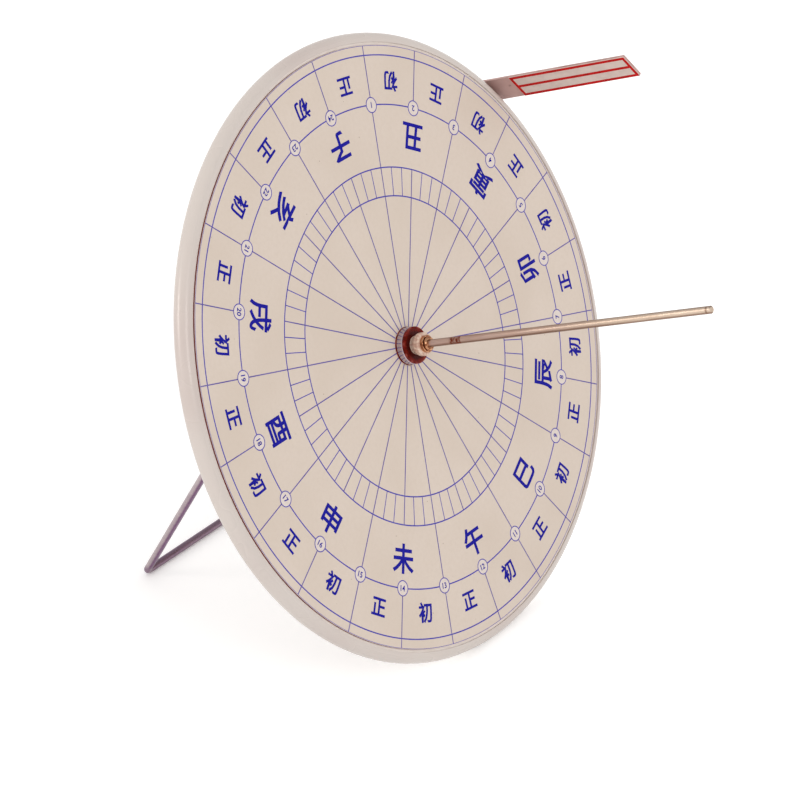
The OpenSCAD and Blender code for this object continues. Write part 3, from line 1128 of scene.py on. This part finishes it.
@dataclass
class PrintedDial(Subassembly):
    """The board, its printed sheet and everything printed on it, in mm.

    Attributes:
        rim_rings: Radii of the two outer circles.
        badge_ring: Radius of the circle that carries the numbered badges.
        tick_outer: Outer radius of the ring of ticks.
        tick_inner: Its inner radius.
        divisions: Ticks in the whole ring, hour lines included.
        spoke_inner: Radius at which the hour lines start.
        badge_r: Radius of a badge.
        number_h: Size of the type of a number.
        number_bold: How far its strokes are swelled.
        mark_r: Radius on which the double hours' marks are centred.
        mark_h: Size of the type of those marks.
        mark_bold: How far their strokes are swelled.
        half_r: Radius on which the half marks are centred.
        half_h: Size of the type of the half marks.
        half_bold: How far their strokes are swelled.
        ring_w: Width of a circle.
        spoke_w: Width of an hour line.
        tick_w: Width of a tick.
        ink: Thickness of the ink.
        air: Gap between two layers of ink.
        edge_w: Width of the circle along the sheet's edge.
        glue_r: Radius of the glue's middle.
        glue_w: Width of the glue.
        glue_span: Heights of its underside and its skin.
        ring_steps: Straight pieces of a circle round the dial.
        gap_steps: Straight pieces of the badge circle from badge to badge.
        badge_steps: Straight pieces of the circle round a badge.
        field_steps: Corners of a badge's field.
    """

    rim_rings: tuple[float, float] = (119.32, 115.55)
    badge_ring: float = 95.9
    tick_outer: float = 71.0
    tick_inner: float = 59.6
    divisions: int = 72
    spoke_inner: float = 7.8
    badge_r: float = 3.0
    number_h: float = 3.2
    number_bold: float = 0.06
    mark_r: float = 84.3
    mark_h: float = 12.4
    mark_bold: float = 0.26
    half_r: float = 105.2
    half_h: float = 8.4
    half_bold: float = 0.2
    ring_w: float = 0.5
    spoke_w: float = 0.42
    tick_w: float = 0.36
    ink: float = 0.02
    air: float = 0.004
    edge_w: float = 0.18
    glue_r: float = 120.2
    glue_w: float = 1.16
    glue_span: tuple[float, float] = (-1.18, -0.72)
    ring_steps: int = 360
    gap_steps: int = 12
    badge_steps: int = 48
    field_steps: int = 40

    def build(self) -> None:
        """Builds the print and dresses the board and the sheet."""
        self._dress_nodes({"dial_body": BOARD_ABS, "dial_sheet": CARD})
        place = self.dial.matrix()
        for name, slab, ink in (
            ("dial_rings", self._rings(), LINE_INK), ("hour_lines", self._hour_lines(), SPOKE_INK),
            ("hour_ticks", self._ticks(), LINE_INK), ("badge_rings", self._badge_rings(), LINE_INK),
        ):
            self._add(slab.build(name, place), ink, Body.BOARD, "ink_blue")
        self._add(self._glue().build("sheet_glue", place), GLUE, Body.BOARD, "sheet_printed")
        fields = self._badge_fields().build("badge_fields", place)
        self._add(fields, PALE_CARD, Body.BOARD, "sheet_printed")
        for name, set_type in (
            ("badge_numbers", self._numbers()),
            ("hour_characters", self._hour_marks()),
            ("half_hour_characters", self._half_marks()),
        ):
            self._add(set_type.build(name, place), BLUE_INK, Body.BOARD, "ink_blue")

    def _slab(self, layer: int = 1) -> SlabMesh:
        """Starts a slab of ink in the given layer, counted from the sheet."""
        low = self.air + (layer - 1) * (self.ink + self.air)
        return SlabMesh(low, low + self.ink)

    def _glue(self) -> SlabMesh:
        """Lays the line of pale glue in the groove round the sheet, where it also lightens the
        groove's shade.

        Returns:
            The glue's shape.
        """
        slab = SlabMesh(*self.glue_span)
        slab.arc(self.glue_r, self.glue_w, 0.0, math.tau, self.ring_steps)
        return slab

    def _badge_gap(self) -> float:
        """Gives half of the angle that a badge takes out of its circle."""
        return 2 * math.asin(self.badge_r / (2 * self.badge_ring))

    def _rings(self) -> SlabMesh:
        """Draws the circles: four whole ones, and one that breaks at each badge.

        Returns:
            The ink of the circles.
        """
        slab = self._slab()
        slab.arc(self.rim_rings[0], self.edge_w, 0.0, math.tau, self.ring_steps)
        for radius in (self.rim_rings[1], self.tick_outer, self.tick_inner):
            slab.arc(radius, self.ring_w, 0.0, math.tau, self.ring_steps)
        gap = self._badge_gap()
        sweep = math.tau / HOURS - 2 * gap
        for hour in range(HOURS):
            slab.arc(self.badge_ring, self.ring_w, hour_angle(hour) + gap, sweep, self.gap_steps)
        return slab

    def _hour_lines(self) -> SlabMesh:
        """Draws the hour lines. Only those between two double hours cross the field of marks.

        Returns:
            The ink of the lines.
        """
        slab = self._slab(2)
        inner, outer = self.badge_ring - self.badge_r, self.badge_ring + self.badge_r
        for hour in range(1, HOURS + 1):
            angle = hour_angle(hour)
            if hour % 2:
                slab.spoke(angle, self.spoke_inner, inner, self.spoke_w)
            else:
                slab.spoke(angle, self.spoke_inner, self.tick_outer, self.spoke_w)
            slab.spoke(angle, outer, self.rim_rings[0], self.spoke_w)
        return slab

    def _ticks(self) -> SlabMesh:
        """Draws the short ticks between the hour lines.

        Returns:
            The ink of the ticks.
        """
        slab = self._slab()
        per_hour = self.divisions // HOURS
        for tick in range(self.divisions):
            if tick % per_hour:
                slab.spoke(hour_angle(tick / per_hour), self.tick_inner, self.tick_outer,
                           self.tick_w)
        return slab

    def _badge_fields(self) -> SlabMesh:
        """Draws the pale fields of the badges.

        Returns:
            The ink of the fields.
        """
        slab = self._slab()
        for hour in range(HOURS):
            centre = on_circle(self.badge_ring, hour)
            slab.disc(centre, self.badge_r - self.ring_w / 4, self.field_steps)
        return slab

    def _badge_rings(self) -> SlabMesh:
        """Draws the circles round the badges.

        Returns:
            The ink of the circles.
        """
        slab = self._slab(2)
        for hour in range(HOURS):
            slab.arc(self.badge_r, self.tick_w, 0.0, math.tau, self.badge_steps,
                     on_circle(self.badge_ring, hour))
        return slab

    def _set(
        self, marks: Iterable[tuple[str, float]], radius: float, height: float, bold: float
    ) -> SetType:
        """Sets marks on a circle, tops towards the centre, in ink above circles and fields.

        Args:
            marks: Characters of each mark and the hour at which it stands.
            radius: Radius of the circle.
            height: Size of the type.
            bold: How far each stroke is swelled.

        Returns:
            The characters that were set.
        """
        set_type = SetType(height, bold, 2 * self.air + self.ink, self.ink)
        for text, hour in marks:
            set_type.add(text, on_circle(radius, hour), hour_angle(hour) + math.pi)
        return set_type

    def _numbers(self) -> SetType:
        """Sets the numbers 1 to 24 in the badges."""
        marks = ((str(hour), hour) for hour in range(1, HOURS + 1))
        return self._set(marks, self.badge_ring, self.number_h, self.number_bold)

    def _hour_marks(self) -> SetType:
        """Sets the marks of the double hours."""
        marks = (mark.value for mark in HourMark)
        return self._set(marks, self.mark_r, self.mark_h, self.mark_bold)

    def _half_marks(self) -> SetType:
        """Sets the half marks: the first half of a double hour starts at each odd hour.

        Returns:
            The characters that were set.
        """
        marks = [
            (HalfMark.FIRST.value if hour % 2 else HalfMark.SECOND.value, hour + 0.5)
            for hour in range(HOURS)
        ]
        return self._set(marks, self.half_r, self.half_h, self.half_bold)


@dataclass
class Hub(Subassembly):
    """The hub's stack and the gnomon, in mm.

    Attributes:
        pitch: Pitch of the tube's fine thread.
        thread_depth: Depth of the thread.
        thread_l: Length of the threaded rear end.
        bore_r: Radius of the tube's bore.
        facets: Corners of the tube's section.
        rows_per_turn: Rings of the mesh in one pitch.
        chamfer: Size of the bevel on the rear end.
    """

    pitch: float = 0.5
    thread_depth: float = 0.26
    thread_l: float = 9.2
    bore_r: float = 1.55
    facets: int = 48
    rows_per_turn: int = 8
    chamfer: float = 0.3

    def build(self) -> None:
        """Dresses the stack and cuts the thread of the tube."""
        self._dress_nodes({
            # The sheet washer's thin dark ring at the collar's foot is partly painted shade, for
            # the contact shadow there
            "hub_tube": TUBE_BRASS, "sheet_washer": POLISHED_FIBRE, "hub_collar": COLLAR_NICKEL,
            "front_washer": POLISHED_FIBRE, "thumb_nut": NUT_ACETAL, "collet_ring": RING_BRASS,
            "gnomon_rod": ROD_BRASS, "rear_washer": RED_FIBRE, "arm_washer": ZINC,
            "spring_washer": SPRING_STEEL, "lock_nut": TUBE_BRASS,
        })
        tube = self._threaded_tube()
        self._add(tube, TUBE_BRASS, Body.BOARD, "brass_tube")
        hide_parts("hub_tube")

    def _tube_span(self) -> tuple[float, float, float]:
        """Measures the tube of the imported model.

        Returns:
            Its lowest and highest height and its radius.
        """
        to_dial = self.dial.matrix().inverted()
        points = [to_dial @ v.co for v in frame["nodes"]["hub_tube"].data.vertices]
        heights = [p.z for p in points]
        return min(heights), max(heights), max(p.xy.length for p in points)

    def _threaded_tube(self) -> bpy.types.Object:
        """Builds the tube with a helical thread on its rear end.

        Returns:
            The tube as one closed mesh.
        """
        low, high, radius = self._tube_span()
        step = self.pitch / self.rows_per_turn
        rows = [low + i * step for i in range(round(self.thread_l / step) + 1)] + [high]
        verts, faces = [], []
        for row, z in enumerate(rows):
            for k in range(self.facets):
                angle = math.tau * k / self.facets
                phase = ((z - low) / self.pitch - k / self.facets) % 1
                cut = self.thread_depth * (1 - abs(2 * phase - 1))
                edge = max(0.0, self.chamfer - (z - low))
                r = radius - (max(cut, edge) if row < len(rows) - 2 else 0.0)
                verts.append((r * math.cos(angle), r * math.sin(angle), z))
        outer_top = len(rows) - 1
        for z in (high, low):
            for k in range(self.facets):
                angle = math.tau * k / self.facets
                verts.append((self.bore_r * math.cos(angle), self.bore_r * math.sin(angle), z))
        order = [*range(outer_top + 1), outer_top + 1, outer_top + 2, 0]
        for a, b in zip(order, order[1:]):
            for k in range(self.facets):
                n = (k + 1) % self.facets
                faces.append((a * self.facets + k, a * self.facets + n,
                              b * self.facets + n, b * self.facets + k))
        mesh = bpy.data.meshes.new("threaded_hub_tube")
        mesh.from_pydata(verts, [], faces)
        mesh.transform(self.dial.matrix())
        return link_mesh("threaded_hub_tube", mesh)


@dataclass
class TargetArm(Subassembly):
    """The swinging strip and its label, in mm.

    Attributes:
        margin: Paper left bare outside the red frame.
        line_w: Width of a red line.
        ink: Thickness of the ink.
        air: Gap between the ink and the paper.
    """

    margin: float = 0.1
    line_w: float = 1.35
    ink: float = 0.03
    air: float = 0.005

    def build(self) -> None:
        """Dresses the arm and prints the label's frame and middle line."""
        self._dress_nodes({"target_arm": STRIP_STEEL, "target_label": LABEL_PAPER})
        self._add(self._label_lines(), RED_INK, Body.TARGET, "ink_red")

    def _label_frame(self) -> tuple[Matrix, float, float]:
        """Finds the label's face.

        Returns:
            The move from the face's millimetres to the row frame, the label's length and width.
        """
        to_dial = self.dial.matrix().inverted()
        points = [to_dial @ v.co for v in frame["nodes"]["target_label"].data.vertices]
        middle = sum(points, Vector()) / len(points)
        out = Vector((middle.x, middle.y, 0)).normalized()
        side = Vector((0, 0, 1)).cross(out)
        inner = min(p.dot(out) for p in points)
        low, high = min(p.z for p in points), max(p.z for p in points)
        width = 2 * max(abs(p.dot(side)) for p in points)
        centre = out * inner + Vector((0, 0, (low + high) / 2))
        axes = Matrix((Vector((0, 0, 1)), side, -out)).transposed().to_4x4()
        return self.dial.matrix() @ Matrix.Translation(centre) @ axes, high - low, width

    def _label_lines(self) -> bpy.types.Object:
        """Draws the red frame and the middle line on the face towards the gnomon.

        Returns:
            The lines as one piece.
        """
        place, length, width = self._label_frame()
        slab = SlabMesh(self.air, self.air + self.ink)
        half = self.line_w / 2
        x = length / 2 - self.margin - half
        y = width / 2 - self.margin - half
        reach = x + half
        for level in (-y, 0.0, y):
            slab.bar((-reach, level), (reach, level), self.line_w)
        inner = y - half
        for end in (-x, x):
            for low, high in ((-inner, -half), (half, inner)):
                slab.bar((end, low), (end, high), self.line_w)
        return slab.build("label_lines", place)


@dataclass
class WireStand(Subassembly):
    """The folding wire stand with its lugs and screws."""

    def build(self) -> None:
        """Dresses the stand."""
        self._dress_nodes({
            "bail_wire": WIRE_STEEL, "left_lug": LUG_ABS, "right_lug": LUG_ABS,
            "lug_screws": ZINC,
        })


@dataclass
class Studio:
    """Pale floor, even light and the camera at the photograph's angle. Sizes and places in mm.

    Attributes:
        dial: The dial's frame, from whose centre the camera and the lamps are placed.
        camera_at: Place of the camera from the dial's centre, along the row's axes.
        aim_at: Point on the camera's axis, from the dial's centre.
        lens: Focal length on a 36 mm sensor.
        shift: Sideways and upward shift of the frame.
        depth: Nearest and furthest distance that the camera shows.
        floor_r: Half of the floor's side.
        floor_seen: Colour of the floor to the camera and in mirrors.
        floor_lit: Colour with which it throws light back.
        ambient: Strength of the even light near the horizon.
        overhead: Share of it that comes from straight above.
        mirrored_from: Height of a mirrored ray, from -1 to 1, from which the room grows dimmer.
        mirrored_overhead: Brightness that metal mirrors from straight above.
        mirrored_side: How far to the right, from -1 to 1, the dim side starts and is full.
        mirrored_right: Share of it that metal mirrors from the dim side of the room.
        window: Colour of the lamps' light.
        sun: Strength of the lamp in front, which stands for a far window.
        sun_from: Direction that its light comes from.
        sun_angle: Width of a window, in degrees.
        back_sun: Strength of the lamp behind, which lights the edges.
        back_sun_from: Direction that its light comes from.
        floor_lift: Extra brightness that keeps the unshaded floor white to the camera.
    """

    dial: DialFrame
    camera_at: tuple[float, float, float] = (-1050.06, -749.35, 684.51)
    aim_at: tuple[float, float, float] = (-17.2, 8.7, -15.95)
    lens: float = 166.58
    shift: tuple[float, float] = (0.0445, -0.0099)
    depth: tuple[float, float] = (50.0, 60000.0)
    floor_r: float = 9000.0
    floor_seen: str = "fefefe"
    floor_lit: str = "ececec"
    ambient: float = 1.03
    overhead: float = 0.7
    mirrored_from: float = 0.15
    mirrored_overhead: float = 0.5
    mirrored_side: tuple[float, float] = (-0.3, 0.9)
    mirrored_right: float = 0.8
    window: str = "fffaf4"
    sun: float = 0.5
    sun_from: tuple[float, float, float] = (-0.3, -0.75, 0.55)
    sun_angle: float = 20.0
    back_sun: float = 0.7
    back_sun_from: tuple[float, float, float] = (-0.75, 0.55, 0.35)
    floor_lift: float = 0.24

    def build(self) -> None:
        """Sets up floor, world, lamps and camera."""
        bpy.context.scene.view_settings.view_transform = "Standard"
        self._floor()
        self._world()
        self._window("window", self.sun, self.sun_from)
        self._window("back_window", self.back_sun, self.back_sun_from)
        self._camera()

    def _at(self, offset: tuple[float, float, float]) -> Vector:
        """Gives a place in metres from its distance to the dial's centre."""
        return self.dial.origin + Vector(offset) * MM

    def _straight(self, tree: Tree) -> Socket:
        """Gives 1 for rays that see the background directly or through glass."""
        return add_node(tree, Kind.LARGER, {
            0: add_node(tree, Kind.RAYS, output="Is Camera Ray"),
            1: add_node(tree, Kind.RAYS, output="Is Transmission Ray")})

    def _seen(self, tree: Tree) -> Socket:
        """Gives 1 for rays that show the floor: direct, through glass or mirrored."""
        return add_node(tree, Kind.LARGER, {
            0: self._straight(tree), 1: add_node(tree, Kind.RAYS, output="Is Glossy Ray")})

    def _floor(self) -> None:
        """Lays the floor: white to the camera and in mirrors, pale grey where it throws light."""
        size = self.floor_r * MM
        mesh = bpy.data.meshes.new("floor")
        ground = [(-size, -size, 0), (size, -size, 0), (size, size, 0), (-size, size, 0)]
        mesh.from_pydata(ground, [], [(0, 1, 2, 3)])
        floor = bpy.data.objects.new("floor", mesh)
        bpy.context.scene.collection.objects.link(floor)
        paper = bpy.data.materials.new("studio_paper")
        paper.use_nodes = True
        tree = paper.node_tree
        shader = tree.nodes["Principled BSDF"]
        shader.inputs["Roughness"].default_value = 1.0
        shader.inputs["Specular IOR Level"].default_value = 0.0
        shader.inputs["Emission Color"].default_value = WHITE
        seen = self._seen(tree)
        colour = add_node(tree, Kind.COLOUR_MIX, {
            "Factor": seen, "A": linear(self.floor_lit), "B": linear(self.floor_seen)})
        tree.links.new(colour, shader.inputs["Base Color"])
        lift = add_node(tree, Kind.TIMES, {0: seen, 1: self.floor_lift})
        tree.links.new(lift, shader.inputs["Emission Strength"])
        mesh.materials.append(paper)

    def _world(self) -> None:
        """Lights the room evenly and shows it white."""
        world = bpy.data.worlds.new("studio")
        bpy.context.scene.world = world
        world.use_nodes = True
        tree = world.node_tree
        way = add_node(tree, Kind.COORDS, output="Generated")
        up = add_node(tree, Kind.SPLIT, {"Vector": way}, output="Z")
        diffuse = add_node(tree, Kind.SLOPE, {
            "Value": up, "To Min": self.ambient, "To Max": self.ambient * self.overhead})
        above = add_node(tree, Kind.SLOPE, {
            "Value": up, "From Min": self.mirrored_from, "To Min": 1.0,
            "To Max": self.mirrored_overhead})
        aside = add_node(tree, Kind.SOFT_STEP, {
            "Value": add_node(tree, Kind.SPLIT, {"Vector": way}, output="X"),
            "From Min": self.mirrored_side[0], "From Max": self.mirrored_side[1],
            "To Min": 1.0, "To Max": self.mirrored_right})
        light = add_node(tree, Kind.NUMBER_MIX, {
            "Factor": add_node(tree, Kind.RAYS, output="Is Glossy Ray"),
            "A": diffuse, "B": add_node(tree, Kind.TIMES, {0: above, 1: aside})})
        strength = add_node(tree, Kind.NUMBER_MIX, {
            "Factor": self._straight(tree), "A": light, "B": 1.0})
        sky = tree.nodes["Background"]
        sky.inputs["Color"].default_value = WHITE
        tree.links.new(strength, sky.inputs["Strength"])

    def _window(self, name: str, strength: float, way_in: tuple[float, float, float]) -> None:
        """Hangs a far window, whose light falls evenly over the whole dial.

        Args:
            name: Name of the lamp.
            strength: Its strength.
            way_in: Direction that its light comes from.
        """
        data = bpy.data.lights.new(name, "SUN")
        data.energy = strength
        data.angle = math.radians(self.sun_angle)
        data.color = linear(self.window)[:3]
        lamp = bpy.data.objects.new(name, data)
        way = Vector(way_in)
        lamp.location = self.dial.origin + way
        lamp.rotation_euler = (-way).to_track_quat("-Z", "Y").to_euler()
        bpy.context.scene.collection.objects.link(lamp)

    def _camera(self) -> None:
        """Puts the camera where the photograph was taken from."""
        data = bpy.data.cameras.new("camera")
        data.lens = self.lens
        data.shift_x, data.shift_y = self.shift
        camera = bpy.data.objects.new("camera", data)
        camera.location = self._at(self.camera_at)
        aim = self._at(self.aim_at) - camera.location
        camera.rotation_euler = aim.to_track_quat("-Z", "Y").to_euler()
        data.clip_start, data.clip_end = (distance * MM for distance in self.depth)
        bpy.context.scene.collection.objects.link(camera)
        bpy.context.scene.camera = camera


def main() -> None:
    """Builds the studio and the sundial."""
    logging.basicConfig(level=logging.INFO, format="%(message)s")
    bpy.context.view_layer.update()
    dial = DialFrame.from_model(frame)
    wardrobe = Wardrobe(dial)
    Studio(dial).build()
    for part in (PrintedDial, Hub, TargetArm, WireStand):
        part(dial, wardrobe).build()


if __name__ == "__main__":
    main()
